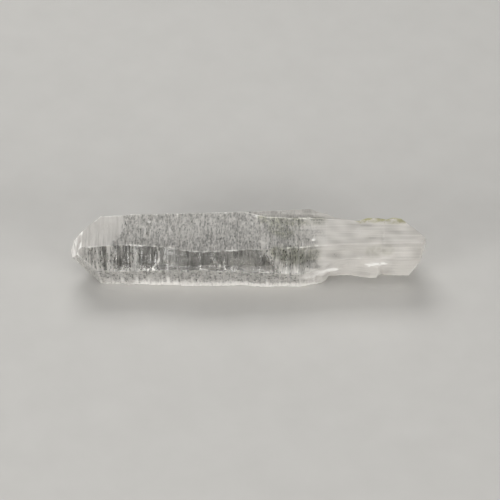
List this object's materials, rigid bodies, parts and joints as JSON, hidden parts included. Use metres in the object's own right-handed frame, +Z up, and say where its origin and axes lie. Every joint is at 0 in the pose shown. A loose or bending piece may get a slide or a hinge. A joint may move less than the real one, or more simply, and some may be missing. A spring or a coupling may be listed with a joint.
{
  "type": "quartz point",
  "caption": "Clear quartz crystal point lying on a prism face: a striated six-sided body with a faceted tip and a narrower milky neck.",
  "frame": {"origin": "middle of the crystal's length and depth, on the flat prism face that it rests on", "axes": "+X along the crystal from the tip to the broken neck, +Z up, -Y towards the side that the picture shows"},
  "size_m": [0.0892, 0.021, 0.0151],
  "materials": {
    "quartz": "satin"
  },
  "bodies": {
    "root": {"quartz_point": "quartz"}
  },
  "joints": []
}
